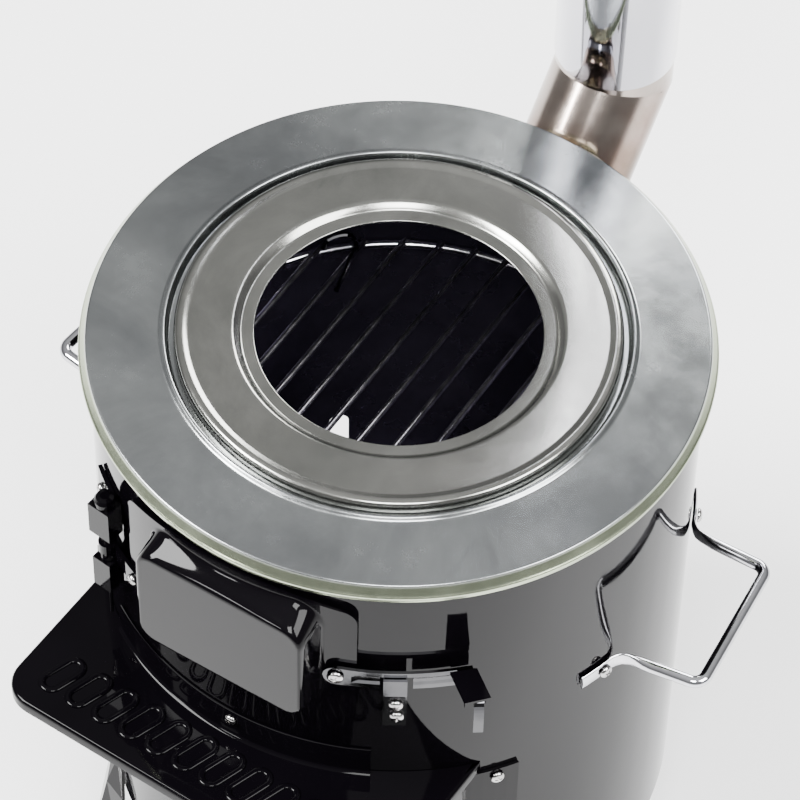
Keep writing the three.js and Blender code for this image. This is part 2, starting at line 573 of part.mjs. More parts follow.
// Gusset brackets under the shelf: a leaf screwed to the body and a tapered web along the side skirt.
for (const [side, x, azLeaf] of [['left', SHELF_X[0] + 4.2, [-142.5, -130.4]],
  ['right', SHELF_X[1] - 4.2, [-43.4, -31.6]]]) {
  const r0 = BODY_R + GAP;
  const leaf = curvedPlate(r0, r0 + 1.6, azLeaf[0], azLeaf[1], SHELF_Z - 46, SHELF_Z - 8, 5);
  const yWall = -Math.sqrt((r0 + 0.6) ** 2 - x * x);
  const web = new THREE.Shape([[yWall, SHELF_Z - 46], [yWall, SHELF_Z - SHEET - GAP],
    [SHELF_FRONT + 24, SHELF_Z - SHEET - GAP], [SHELF_FRONT + 24, SHELF_Z - 10], [yWall - 16, SHELF_Z - 46]]
    .map(([a, b]) => new THREE.Vector2(a, b)));
  const g = new THREE.ExtrudeGeometry(web, { depth: 1.6, bevelEnabled: false });
  g.translate(0, 0, -0.8);
  g.rotateX(Math.PI / 2);
  g.rotateZ(Math.PI / 2);
  g.translate(x, 0, 0);
  const keep = tube(r0, 400, SHELF_Z - 60, SHELF_Z, 96);
  const m = solid(g).intersect(solid(keep)).add(solid(leaf));
  part(`shelf_bracket_${side}`, fromSolid(m), ENAMEL, shelf);
  const azScrew = side === 'right' ? -36.0 : -138.4;
  screw(`shelf_bracket_screw_${side}`, r0 + 1.6 + GAP, azScrew, SHELF_Z - 13.5, 3.6, 2.3, 20, CHROME, shelf);
}

// ---- carrying handles --------------------------------------------------------------------------------
// Sweep a section whose half width (in plan) and half height change along a flat path.
function loft(points, halfWidth, halfHeight, sides = 12) {
  const pos = [];
  const idx = [];
  const n = points.length;
  for (let i = 0; i < n; i++) {
    const a = points[Math.max(0, i - 1)];
    const b = points[Math.min(n - 1, i + 1)];
    const t = new THREE.Vector3().subVectors(b, a).normalize();
    const side = new THREE.Vector3(t.y, -t.x, 0).normalize();
    for (let k = 0; k < sides; k++) {
      const q = 2 * Math.PI * k / sides;
      const p = points[i].clone()
        .addScaledVector(side, halfWidth[i] * Math.cos(q))
        .add(new THREE.Vector3(0, 0, halfHeight[i] * Math.sin(q)));
      pos.push(p.x, p.y, p.z);
    }
  }
  for (let i = 0; i < n - 1; i++) {
    for (let k = 0; k < sides; k++) {
      const k2 = (k + 1) % sides;
      const [a, b, c, d] = [i * sides + k, i * sides + k2, (i + 1) * sides + k2, (i + 1) * sides + k];
      idx.push(a, c, b, a, d, c);
    }
  }
  for (let k = 1; k < sides - 1; k++) {
    idx.push(0, k, k + 1);
    const o = (n - 1) * sides;
    idx.push(o, o + k + 1, o + k);
  }
  const g = new THREE.BufferGeometry();
  g.setAttribute('position', new THREE.BufferAttribute(new Float32Array(pos), 3));
  g.setIndex(idx);
  g.computeVertexNormals();
  return g;
}

const TAB_R = BODY_R + GAP + 1.25;
function handlePath() {
  const half = [];
  for (let az = 25.8; az >= 18.4; az -= 1.85) half.push([polar(TAB_R, az), 1]);
  half.push([new THREE.Vector3(143.2, 44.6, 0), 1]);
  half.push([new THREE.Vector3(145.2, 42.6, 0), 1]);
  half.push([new THREE.Vector3(148.2, 41.6, 0), 0.9]);
  half.push([new THREE.Vector3(151.5, 41.1, 0), 0.6]);
  half.push([new THREE.Vector3(155.5, 40.7, 0), 0.15]);
  half.push([new THREE.Vector3(160, 40.4, 0), 0]);
  half.push([new THREE.Vector3(178.4, 39.2, 0), 0]);
  for (const q of [0.15, 0.4, 0.65, 0.9, 1]) {
    const a = q * Math.PI / 2;
    half.push([new THREE.Vector3(178.9 + 6.4 * Math.sin(a), 32.8 + 6.4 * Math.cos(a), 0), 0]);
  }
  const mirrored = half.slice().reverse().map(([p, f]) => [new THREE.Vector3(p.x, -p.y, 0), f]);
  return [...half, ...mirrored];
}
{
  const path = handlePath();
  const width = path.map(([, f]) => HANDLE_WIRE * (1 - f) + 1.1 * f);
  const height = path.map(([, f]) => HANDLE_WIRE * (1 - f) + 4.4 * f);
  for (const [name, az] of [['handle_right', HANDLE_TURN], ['handle_left', 180 - HANDLE_TURN]]) {
    const g = loft(path.map(([p]) => p), width, height, 10);
    g.rotateZ(rad(az));
    g.translate(0, 0, HANDLE_Z);
    part(name, g, CHROME);
    for (const [end, sign] of [['front', az > 90 ? 1 : -1], ['rear', az > 90 ? -1 : 1]]) {
      screw(`${name}_screw_${end}`, TAB_R + 1.1 + GAP, az + sign * 20.6, HANDLE_Z, 3.6, 2.4, 30 + sign * 20);
    }
  }
}

// ---- chimney -----------------------------------------------------------------------------------------
// A pipe along a broken line in the YZ plane, mitred at each bend, open at both ends.
function mitredPipe(points, rOut, rIn, segments = 40) {
  const pos = [];
  const idx = [];
  const n = points.length;
  const dir = (a, b) => new THREE.Vector3().subVectors(b, a).normalize();
  for (const radius of [rOut, rIn]) {
    for (let i = 0; i < n; i++) {
      const dIn = i > 0 ? dir(points[i - 1], points[i]) : dir(points[0], points[1]);
      const dOut = i < n - 1 ? dir(points[i], points[i + 1]) : dIn;
      const normal = new THREE.Vector3().addVectors(dIn, dOut).normalize();
      const up = dIn.clone().cross(new THREE.Vector3(1, 0, 0)).normalize();
      for (let k = 0; k < segments; k++) {
        const q = 2 * Math.PI * k / segments;
        const offset = new THREE.Vector3(Math.cos(q) * radius, 0, 0).addScaledVector(up, Math.sin(q) * radius);
        const slide = -offset.dot(normal) / dIn.dot(normal);
        const p = points[i].clone().add(offset).addScaledVector(dIn, slide);
        pos.push(p.x, p.y, p.z);
      }
    }
  }
  const id = (s, i, k) => (s * n + i) * segments + (k % segments);
  const quad = (a, b, c, d) => idx.push(a, b, c, a, c, d);
  for (let k = 0; k < segments; k++) {
    for (let i = 0; i < n - 1; i++) {
      quad(id(0, i, k), id(0, i, k + 1), id(0, i + 1, k + 1), id(0, i + 1, k));
      quad(id(1, i, k), id(1, i + 1, k), id(1, i + 1, k + 1), id(1, i, k + 1));
    }
    quad(id(0, 0, k), id(1, 0, k), id(1, 0, k + 1), id(0, 0, k + 1));
    quad(id(0, n - 1, k), id(0, n - 1, k + 1), id(1, n - 1, k + 1), id(1, n - 1, k));
  }
  const g = new THREE.BufferGeometry();
  g.setAttribute('position', new THREE.BufferAttribute(new Float32Array(pos), 3));
  g.setIndex(idx);
  g.computeVertexNormals();
  return g;
}
{
  // Flue flange: a saddle plate on the body's rear wall with a short spigot.
  const saddle = curvedPlate(BODY_R + GAP, BODY_R + GAP + 1.6, 73, 107, FLUE_Z - 33, FLUE_Z + 33, 16);
  const spigot = roundY(ELBOW_R - 1.2, BODY_R - 6, 155.5, FLUE_Z, 40);
  const boreCut = roundY(ELBOW_R - 2.6, BODY_R - 40, 170, FLUE_Z, 40);
  const keep = tube(BODY_R + GAP, 400, FLUE_Z - 50, FLUE_Z + 50, 96);
  const m = solid(spigot).intersect(solid(keep)).add(solid(saddle)).subtract(solid(boreCut));
  part('flue_flange', fromSolid(m), CHROME, chimney);
  const screwR = BODY_R + GAP + 1.6 + GAP;
  for (const [i, [az, dz]] of [[76, -27], [104, -27], [76, 27], [104, 27]].entries()) {
    screw(`flue_flange_screw_${i + 1}`, screwR, az, FLUE_Z + dz, 3.2, 2.2, 20 + 15 * i, CHROME, chimney);
  }
}
{
  const bendLow = new THREE.Vector3(0, 170, FLUE_Z);
  const bendHigh = new THREE.Vector3(0, PIPE_Y, FLUE_Z + (PIPE_Y - 170));
  part('flue_elbow', mitredPipe([new THREE.Vector3(0, 151.2, FLUE_Z), bendLow, bendHigh,
    new THREE.Vector3(0, PIPE_Y, PIPE_BOTTOM + 30)], ELBOW_R, ELBOW_R - 0.8, 48)
, STAINLESS, chimney);
}
{
  const neck = 26;
  const pipe = (z0) => {
    const r = PIPE_R;
    const ri = PIPE_R - PIPE_WALL;
    const zt = z0 + PIPE_LENGTH;
    const g = lathe([[ri, z0], [r, z0], [r, zt - neck - 3], [ELBOW_R, zt - neck], [ELBOW_R, zt],
      [ELBOW_R - 0.7, zt], [ELBOW_R - 0.7, zt - neck + 0.3], [ri, zt - neck - 2.7], [ri, z0]], 48);
    return g.translate(0, PIPE_Y, 0);
  };
  part('chimney_pipe_lower', pipe(PIPE_BOTTOM), STAINLESS, chimney);
  part('chimney_pipe_upper', pipe(PIPE_BOTTOM + PIPE_LENGTH - neck + 0.5), STAINLESS, chimney);
}

// ---- legs --------------------------------------------------------------------------------------------
// Folded sheet legs: flat where they are screwed to the body, opening into a splayed V towards the floor.
function leg(az) {
  const t = 1.6;
  // height, fold radius, web-end radius, half width
  const stations = [
    [BODY_BOTTOM + 34, BODY_R + GAP + t, BODY_R + GAP + t - 0.35, 8],
    [BODY_BOTTOM + 14, BODY_R + GAP + t, BODY_R + GAP + t - 0.4, 9],
    [BODY_BOTTOM - 4, 155.5, 150.6, 14],
    [1.6, 167, 153.5, 24],
    [0, 167.4, 153.6, 24],
  ];
  const pos = [];
  const idx = [];
  for (const [z, rf, re, w] of stations) {
    const section = [[re, -w], [rf, 0], [re, w], [re - t, w], [rf - t * 1.15, 0], [re - t, -w]];
    for (const [r, s] of section) pos.push(r, s, z);
  }
  const m = 6;
  for (let i = 0; i < stations.length - 1; i++) {
    for (let k = 0; k < m; k++) {
      const [a, b] = [i * m + k, i * m + (k + 1) % m];
      const [c, d] = [(i + 1) * m + (k + 1) % m, (i + 1) * m + k];
      idx.push(a, c, b, a, d, c);
    }
  }
  const cap = (o, up) => {
    for (const [a, b, c] of [[0, 1, 4], [0, 4, 5], [1, 2, 3], [1, 3, 4]]) {
      if (up) idx.push(o + a, o + b, o + c);
      else idx.push(o + a, o + c, o + b);
    }
  };
  cap(0, true);
  cap((stations.length - 1) * m, false);
  const g = new THREE.BufferGeometry();
  g.setAttribute('position', new THREE.BufferAttribute(new Float32Array(pos), 3));
  g.setIndex(idx);
  g.computeVertexNormals();
  g.rotateZ(rad(az));
  return g;
}
for (const [name, az] of Object.entries(LEG_AZIMUTHS)) {
  part(name, cut(leg(az), [tube(120, BODY_R + GAP, BODY_BOTTOM - 1, BODY_BOTTOM + 60, 96)]), ENAMEL);
  screw(`${name}_screw`, BODY_R + GAP + 1.6 + GAP, az, BODY_BOTTOM + 24, 3.6, 2.4, 20);
}

export default stove;
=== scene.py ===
"""Portable round wood stove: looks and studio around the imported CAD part. Lengths are in millimetres until
a mesh is made, then metres. The stove's own axis stands at y = AXIS_Y in the row frame."""
import json
import math
import bpy
from mathutils import Matrix, Vector


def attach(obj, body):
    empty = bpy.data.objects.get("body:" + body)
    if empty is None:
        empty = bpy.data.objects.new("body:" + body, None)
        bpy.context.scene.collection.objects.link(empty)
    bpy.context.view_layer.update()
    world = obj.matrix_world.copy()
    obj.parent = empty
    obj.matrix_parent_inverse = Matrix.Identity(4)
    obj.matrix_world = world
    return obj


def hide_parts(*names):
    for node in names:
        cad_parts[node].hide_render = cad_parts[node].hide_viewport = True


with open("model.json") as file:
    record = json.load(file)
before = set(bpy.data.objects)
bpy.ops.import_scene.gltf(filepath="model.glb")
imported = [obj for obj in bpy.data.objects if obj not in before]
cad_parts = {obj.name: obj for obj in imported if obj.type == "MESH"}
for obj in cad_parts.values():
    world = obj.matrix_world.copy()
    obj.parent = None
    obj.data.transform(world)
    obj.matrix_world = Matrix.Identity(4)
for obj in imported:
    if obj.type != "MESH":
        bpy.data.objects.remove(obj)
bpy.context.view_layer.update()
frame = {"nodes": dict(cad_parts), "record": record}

MM = 0.001
AXIS_Y = -22.099
LID = 380.0                     # height of the cook top
BODY_R = 147.5
GAP = 0.3                       # clearance between pieces that lie on one another
SHEET = 1.2                     # thickness of the body's, door's and shelf's sheet


# ---- materials ---------------------------------------------------------------------------------------
class Shader:
    """A node material with one Principled surface and object-space texture coordinates."""

    def __init__(self, name):
        self.material = bpy.data.materials.new(name)
        self.material.use_nodes = True
        self.tree = self.material.node_tree
        self.nodes = self.tree.nodes
        self.surface = self.nodes["Principled BSDF"]
        self.coords = self.nodes.new("ShaderNodeTexCoord").outputs["Object"]

    def link(self, a, b):
        self.tree.links.new(a, b)

    def set(self, **values):
        for key, value in values.items():
            self.surface.inputs[key.replace("_", " ")].default_value = value
        return self

    def scaled(self, scale):
        node = self.nodes.new("ShaderNodeMapping")
        node.inputs["Scale"].default_value = scale
        self.link(self.coords, node.inputs["Vector"])
        return node.outputs["Vector"]

    def noise(self, scale, detail=4.0, roughness=0.55, stretch=None, distortion=0.0):
        node = self.nodes.new("ShaderNodeTexNoise")
        node.inputs["Scale"].default_value = scale
        node.inputs["Detail"].default_value = detail
        node.inputs["Roughness"].default_value = roughness
        node.inputs["Distortion"].default_value = distortion
        self.link(self.scaled(stretch) if stretch else self.coords, node.inputs["Vector"])
        return node.outputs["Fac"]

    def ramp(self, value, *stops):
        node = self.nodes.new("ShaderNodeValToRGB")
        ramp = node.color_ramp
        while len(ramp.elements) < len(stops):
            ramp.elements.new(0.5)
        for element, (position, colour) in zip(ramp.elements, stops):
            element.position = position
            element.color = (*colour, 1)
        self.link(value, node.inputs["Fac"])
        return node.outputs["Color"]

    def spread(self, value, low, high, source=(0.3, 0.7)):
        node = self.nodes.new("ShaderNodeMapRange")
        node.inputs["From Min"].default_value = source[0]
        node.inputs["From Max"].default_value = source[1]
        node.inputs["To Min"].default_value = low
        node.inputs["To Max"].default_value = high
        self.link(value, node.inputs["Value"])
        return node.outputs["Result"]

    def mix(self, factor, a, b, mode="MIX"):
        node = self.nodes.new("ShaderNodeMix")
        node.data_type = "RGBA"
        node.blend_type = mode
        for socket, value in ((node.inputs["Factor"], factor), (node.inputs["A"], a), (node.inputs["B"], b)):
            if isinstance(value, (int, float)):
                socket.default_value = value
            elif isinstance(value, tuple):
                socket.default_value = (*value, 1)
            else:
                self.link(value, socket)
        return node.outputs["Result"]

    def part(self, axis):
        node = self.nodes.new("ShaderNodeSeparateXYZ")
        self.link(self.coords, node.inputs["Vector"])
        return node.outputs[axis]

    def colour(self, value):
        self.link(value, self.surface.inputs["Base Color"])
        return self

    def rough(self, value):
        self.link(value, self.surface.inputs["Roughness"])
        return self

    def bump(self, value, depth, strength=1.0):
        node = self.nodes.new("ShaderNodeBump")
        node.inputs["Strength"].default_value = strength
        node.inputs["Distance"].default_value = depth
        self.link(value, node.inputs["Height"])
        self.link(node.outputs["Normal"], self.surface.inputs["Normal"])
        return self


def enamel(name, index):
    s = Shader(name).set(IOR=index)
    s.colour(s.ramp(s.noise(9, 3), (0.3, (0.0008, 0.0006, 0.001)), (0.7, (0.0014, 0.0011, 0.0017))))
    s.rough(s.spread(s.noise(60, 5), 0.03, 0.07))
    return s.bump(s.noise(55, 2), 0.00005, 0.6).material


def plated(name, dark, light, rough=(0.05, 0.12), scale=40):
    s = Shader(name).set(Metallic=1.0)
    s.colour(s.ramp(s.noise(scale, 4), (0.35, dark), (0.65, light)))
    s.rough(s.spread(s.noise(scale * 3, 5), *rough))
    return s.bump(s.noise(scale * 5, 2), 0.00003).material


RIM_TINT = (0.36, 0.40, 0.29)
RIM_TINT_SPAN = (0.1489, 0.1496)     # metres from the stove's axis over which the tint sets in


def galvanised(name, dark, light, rough):
    s = Shader(name).set(Metallic=1.0)
    cloud = s.ramp(s.noise(14, 6, 0.6, distortion=0.6), (0.34, dark), (0.66, light))
    scratch = s.ramp(s.noise(60, 8, 0.75, stretch=(1.0, 0.12, 1.0)),
                     (0.60, (1, 1, 1)), (0.66, (0.86, 0.87, 0.88)))
    steel = s.mix(0.7, cloud, scratch, "MULTIPLY")
    # The rolled rim keeps a greenish passivation tint.
    across = s.nodes.new("ShaderNodeVectorMath")
    across.operation = "DISTANCE"
    flat = s.nodes.new("ShaderNodeVectorMath")
    flat.operation = "MULTIPLY"
    flat.inputs[1].default_value = (1, 1, 0)
    s.link(s.coords, flat.inputs[0])
    s.link(flat.outputs["Vector"], across.inputs[0])
    across.inputs[1].default_value = (0, AXIS_Y * MM, 0)
    rim = s.spread(across.outputs["Value"], 0.0, 1.0, RIM_TINT_SPAN)
    s.colour(s.mix(rim, steel, RIM_TINT))
    s.rough(s.spread(s.noise(30, 8, 0.7), *rough))
    return s.bump(s.noise(420, 3), 0.00002, 0.5).material


def pipe_steel(name, tone):
    s = Shader(name).set(Metallic=1.0)
    s.colour(s.ramp(s.noise(10, 4, stretch=(1, 1, 0.3)), (0.3, tuple(c * 0.95 for c in tone)), (0.7, tone)))
    s.rough(s.spread(s.noise(30, 6, stretch=(1, 1, 0.2)), 0.03, 0.07))
    return s.bump(s.noise(9, 2, stretch=(1, 1, 0.5)), 0.00008, 0.2).material


TINT_SPAN = (0.305, 0.394)           # heights in metres over which the elbow's colour goes from dark brown at the bottom to a lighter brownish grey above


def tinted_steel(name):
    s = Shader(name).set(Metallic=1.0)
    height = s.spread(s.part("Z"), 0.0, 1.0, TINT_SPAN)
    cloud = s.spread(s.noise(16, 5, 0.6), -0.22, 0.22)
    add = s.nodes.new("ShaderNodeMath")
    s.link(height, add.inputs[0])
    s.link(cloud, add.inputs[1])
    s.colour(s.ramp(add.outputs[0], (0.1, (0.07, 0.045, 0.035)), (0.4, (0.16, 0.115, 0.085)),
                    (0.62, (0.25, 0.185, 0.155)), (0.85, (0.37, 0.32, 0.285))))
    s.rough(s.spread(s.noise(50, 6), 0.11, 0.20))
    return s.bump(s.noise(22, 2), 0.00025, 0.4).material


def soot_and_shade(name):
    # Soot, darkened further to paint in the shade that falls inside the fire box.
    s = Shader(name).set(Metallic=0.7)
    s.colour(s.ramp(s.noise(12, 6, 0.65), (0.3, (0.03, 0.026, 0.042)), (0.7, (0.075, 0.065, 0.10))))
    s.rough(s.spread(s.noise(25, 5), 0.2, 0.36))
    return s.bump(s.noise(30, 2), 0.0001, 0.25).material


ENAMEL = enamel("enamel", 1.2)
ENAMEL_DEEP = enamel("enamel_deep", 1.2)
SHELF_ENAMEL = enamel("enamel_shelf", 1.16)
CHROME = plated("chrome", (0.42, 0.42, 0.445), (0.60, 0.60, 0.625), (0.04, 0.09))
LATCH = plated("latch_plate", (0.045, 0.045, 0.048), (0.075, 0.075, 0.078), (0.05, 0.12))
SCREW = plated("screw_plate", (0.28, 0.275, 0.27), (0.44, 0.43, 0.425), (0.08, 0.2), 90)
WIRE = plated("grate_wire", (0.62, 0.60, 0.66), (0.88, 0.86, 0.90), (0.15, 0.24), 50)
GALVANISED = galvanised("galvanised", (0.215, 0.225, 0.23), (0.32, 0.335, 0.335), (0.17, 0.30))
RING = galvanised("ring_steel", (0.21, 0.214, 0.20), (0.31, 0.31, 0.29), (0.14, 0.24))
PIPE = pipe_steel("pipe_steel", (0.60, 0.60, 0.645))
TINTED = tinted_steel("tinted_steel")
SOOT_AND_SHADE = soot_and_shade("soot_and_shade")


# ---- mesh helpers ------------------------------------------------------------------------------------
def polar(radius, azimuth, z=0.0):
    a = math.radians(azimuth)
    return Vector((radius * math.cos(a), radius * math.sin(a), z))


def make(name, points, faces, material, turn=0.0, smooth=32):
    """A mesh object from points round the stove's axis, turned about it and moved into the row frame."""
    spin = Matrix.Rotation(math.radians(turn), 3, "Z")
    mesh = bpy.data.meshes.new(name)
    shift = Vector((0, AXIS_Y, 0))
    mesh.from_pydata([(spin @ Vector(p) + shift) * MM for p in points], [], faces)
    mesh.update()
    mesh.shade_smooth()
    mesh.set_sharp_from_angle(angle=math.radians(smooth))
    mesh.materials.append(material)
    obj = bpy.data.objects.new(name, mesh)
    bpy.context.scene.collection.objects.link(obj)
    return obj


def stands_for(obj, body, *nodes):
    """Puts a piece on its body, in place of the CAD nodes it stands for."""
    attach(obj, body)
    if nodes:
        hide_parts(*nodes)
    return obj


def fillet(profile, radius, steps=4):
    """Rounds every corner of a closed (r, z) profile."""
    out = []
    n = len(profile)
    for i in range(n):
        p = Vector(profile[i])
        before = Vector(profile[i - 1]) - p
        after = Vector(profile[(i + 1) % n]) - p
        cut = min(radius, before.length * 0.45, after.length * 0.45)
        a = p + before.normalized() * cut
        b = p + after.normalized() * cut
        for k in range(steps + 1):
            t = k / steps
            out.append(a * (1 - t) ** 2 + p * 2 * t * (1 - t) + b * t ** 2)
    return out


def lathe(name, profile, material, segments=240, centre_y=0.0, turn=0.0, smooth=32):
    """A closed (r, z) profile, counter-clockwise, spun about an upright axis."""
    points = []
    for p in profile:
        for k in range(segments):
            a = 2 * math.pi * k / segments
            points.append((p[0] * math.cos(a), p[0] * math.sin(a) + centre_y, p[1]))
    faces = []
    n = len(profile)
    for i in range(n):
        j = (i + 1) % n
        for k in range(segments):
            m = (k + 1) % segments
            faces.append((i * segments + k, i * segments + m, j * segments + m, j * segments + k))
    return make(name, points, faces, material, turn, smooth)


def grid_slab(name, us, vs, front, back, material, smooth=32):
    """A closed slab between two surfaces over a grid."""
    nu, nv = len(us), len(vs)
    points = [f(u, v) for f in (front, back) for v in vs for u in us]

    def at(side, i, j):
        return side * nu * nv + j * nu + i

    faces = []
    for j in range(nv - 1):
        for i in range(nu - 1):
            faces.append((at(0, i, j), at(0, i + 1, j), at(0, i + 1, j + 1), at(0, i, j + 1)))
            faces.append((at(1, i, j), at(1, i, j + 1), at(1, i + 1, j + 1), at(1, i + 1, j)))
    for i in range(nu - 1):
        faces.append((at(0, i + 1, 0), at(0, i, 0), at(1, i, 0), at(1, i + 1, 0)))
        faces.append((at(0, i, nv - 1), at(0, i + 1, nv - 1), at(1, i + 1, nv - 1), at(1, i, nv - 1)))
    for j in range(nv - 1):
        faces.append((at(0, 0, j), at(0, 0, j + 1), at(1, 0, j + 1), at(1, 0, j)))
        faces.append((at(0, nu - 1, j + 1), at(0, nu - 1, j), at(1, nu - 1, j), at(1, nu - 1, j + 1)))
    return make(name, points, faces, material, smooth=smooth)


def span(a, b, n):
    return [a + (b - a) * i / n for i in range(n + 1)]


def sweep(name, path, widths, heights, material, sides=20, turn=0.0, closed=False):
    """An oval section swept along a path that lies in a level plane or close to one."""
    points = []
    n = len(path)
    for i in range(n):
        ahead = path[(i + 1) % n] if closed else path[min(n - 1, i + 1)]
        behind = path[i - 1] if closed else path[max(0, i - 1)]
        t = (ahead - behind).normalized()
        side = Vector((t.y, -t.x, 0))
        side = side.normalized() if side.length > 1e-6 else Vector((1, 0, 0))
        up = side.cross(t).normalized()
        for k in range(sides):
            q = 2 * math.pi * k / sides
            points.append(path[i] + side * (widths[i] * math.cos(q))
                          + up * (heights[i] * math.sin(q)))
    faces = []
    for i in range(n if closed else n - 1):
        j = (i + 1) % n
        for k in range(sides):
            m = (k + 1) % sides
            faces.append((i * sides + k, j * sides + k, j * sides + m, i * sides + m))
    if not closed:
        faces.append(tuple(range(sides)))
        faces.append(tuple(reversed(range((n - 1) * sides, n * sides))))
    return make(name, points, faces, material, turn, 50)


def carve(obj, cutters, smooth=32):
    """Cuts the cutters out of obj and removes them."""
    for cutter in cutters:
        modifier = obj.modifiers.new("cut", "BOOLEAN")
        modifier.operation = "DIFFERENCE"
        modifier.solver = "EXACT"
        modifier.object = cutter
    bpy.context.view_layer.update()
    baked = bpy.data.meshes.new_from_object(obj.evaluated_get(bpy.context.evaluated_depsgraph_get()))
    obj.modifiers.clear()
    obj.data = baked
    baked.shade_smooth()
    baked.set_sharp_from_angle(angle=math.radians(smooth))
    for cutter in cutters:
        bpy.data.objects.remove(cutter)
    return obj


# ---- fire body ---------------------------------------------------------------------------------------
BOTTOM = LID - 318
TOP = LID - 1.5
DOOR_WAY_AZ = (-110.5, -68.5)
DOOR_WAY_Z = [LID - 100, LID - 25]
FLUE_Z = LID - 45
FLUE_HOLE_R = 27.5
VENT_AZ = (134, 46)
VENT_Z = LID - 264
VENT_HALF_WIDTH = 5.5
VENT_FOOT = -17                 # the vent's square end, below its middle
VENT_ARCH = 12                  # where its round end starts, above its middle
CUT_REACH = 12                  # how far the cutters reach past the wall


def body_shell():
    inside = BODY_R - SHEET
    wall = [(inside, BOTTOM), (BODY_R, BOTTOM), (BODY_R, TOP), (inside, TOP)]
    shell = lathe("stove_wall", wall, ENAMEL, 360)
    door = grid_slab("cut_door", span(*DOOR_WAY_AZ, 24), DOOR_WAY_Z,
                     lambda a, z: polar(BODY_R + CUT_REACH, a, z),
                     lambda a, z: polar(BODY_R - CUT_REACH, a, z), ENAMEL)
    near, far = BODY_R - 25, BODY_R + CUT_REACH
    flue = lathe("cut_flue", [(0.01, near), (FLUE_HOLE_R, near), (FLUE_HOLE_R, far), (0.01, far)], ENAMEL, 64)
    flue.data.transform(Matrix.Translation((0, -AXIS_Y * MM, 0)))
    flue.data.transform(Matrix.Rotation(math.radians(-90), 4, "X"))
    flue.data.transform(Matrix.Translation((0, AXIS_Y * MM, FLUE_Z * MM)))
    cutters = [door, flue]
    for azimuth in VENT_AZ:
        outline = [(-VENT_HALF_WIDTH, VENT_FOOT), (VENT_HALF_WIDTH, VENT_FOOT)]
        for k in range(9):
            a = math.pi * k / 8
            outline.append((VENT_HALF_WIDTH * math.cos(a), VENT_ARCH + VENT_HALF_WIDTH * math.sin(a)))
        n = len(outline)
        points = [Vector((r, y, VENT_Z + z)) for r in (BODY_R - 10, BODY_R + 10) for y, z in outline]
        faces = [tuple(reversed(range(n))), tuple(range(n, 2 * n))]
        faces += [(k, (k + 1) % n, n + (k + 1) % n, n + k) for k in range(n)]
        cutters.append(make("cut_vent", points, faces, ENAMEL, azimuth))
    carve(shell, cutters)
    # The inside gets soot darkened further to paint in the shade inside the fire box, and the outside enamel.
    shell.data.materials.append(SOOT_AND_SHADE)
    for face in shell.data.polygons:
        away = Vector((face.center.x, face.center.y - AXIS_Y * MM, 0))
        if away.length < (BODY_R - 0.9) * MM:
            face.material_index = 1
    stands_for(shell, "stove", "body_shell")


body_shell()


# ---- cook top ----------------------------------------------------------------------------------------
# (radius, height above LID) round each sheet's section
TOP_PROFILE = [(102, -2.4), (110.2, -2.4), (111.9, -0.2), (113.4, 0.6), (148.3, -1.2), (150.5, -4.4),
               (150.6, -9.3), (151.6, -9.3), (151.8, -7.4), (152.5, -6.6), (152.5, -5.4), (151.6, -4.5),
               (149.4, -1.5), (148.9, -0.3), (148.2, 0), (114.2, 2.0), (112.6, 3.7), (111.3, 3.6),
               (110.4, 2.0), (109.9, -1.2), (102, -1.2)]
RING_PROFILE = [(68.8, -0.2), (75.6, -0.2), (79.2, 3.2), (100.6, 3.3), (103.2, 4.2), (105.6, 2.6),
                (106.0, -0.9), (107, -0.9), (107, 3.0), (105.9, 4.9), (103.4, 5.6), (101.2, 4.8),
                (100.2, 4.5), (79.0, 4.5), (76.4, 2.4), (75.2, 1.1), (68.8, 1.1)]


def raised(profile):
    return [(r, z + LID) for r, z in profile]


top_sheet = lathe("cook_top", fillet(raised(TOP_PROFILE), 0.9), GALVANISED, smooth=60)
stands_for(top_sheet, "cook_top", "top_plate")
ring_sheet = lathe("centre_ring", fillet(raised(RING_PROFILE), 1.3), RING, smooth=60)
stands_for(ring_sheet, "centre_ring", "inner_ring")


# ---- grate -------------------------------------------------------------------------------------------
GRATE_Z = LID - 90
GRATE_R = 131.9
GRATE_RIM_WIRE = 2.1
GRATE_BAR_WIRE = 1.7
BAR_PITCH = 16.9
BAR_RISE = 2.4                  # the bars are welded on top of the rim
BAR_OVERHANG = 1.2              # past the rim's middle line at each end
CROSS_Y = -62
CROSS_RISE = -0.2


def grate():
    ring = [polar(GRATE_R, a, GRATE_Z) for a in span(0, 360, 180)[:-1]]
    rim = [GRATE_RIM_WIRE] * len(ring)
    bar = [GRATE_BAR_WIRE] * 2
    bars = [sweep("grate_rim", ring, rim, rim, WIRE, 16, closed=True)]
    for k in range(-7, 8):
        x = k * BAR_PITCH
        half = math.sqrt(GRATE_R ** 2 - x * x) + BAR_OVERHANG
        path = [Vector((x, y, GRATE_Z + BAR_RISE)) for y in (-half, half)]
        bars.append(sweep(f"grate_bar_{k + 8}", path, bar, bar, WIRE, 20))
    half = math.sqrt(GRATE_R ** 2 - CROSS_Y ** 2) + BAR_OVERHANG
    path = [Vector((x, CROSS_Y, GRATE_Z + CROSS_RISE)) for x in (-half, half)]
    bars.append(sweep("grate_cross", path, bar, bar, WIRE, 20))
    stands_for(bars[0], "fire_grate", "grate")
    for piece in bars[1:]:
        stands_for(piece, "fire_grate")


grate()


# ---- door --------------------------------------------------------------------------------------------
DOOR_R = 150.7
DOOR_AZ = (-114.5, -64.5)
DOOR_Z = (LID - 107, LID - 14)
DOOR_CORNER = 9.0
DOOR_TOP_SAG = 7                # the top edge is lower at its two ends
PANEL_Y = -160.0                # plane of the raised panel's face
PANEL_X = (-38, 43.5)
PANEL_Z = (LID - 90, LID - 27.5)
PANEL_CORNER = 8.0
BEVEL_SIDE = 6.8
BEVEL_LOW = 9.0
BEVEL_TOP = 9.5


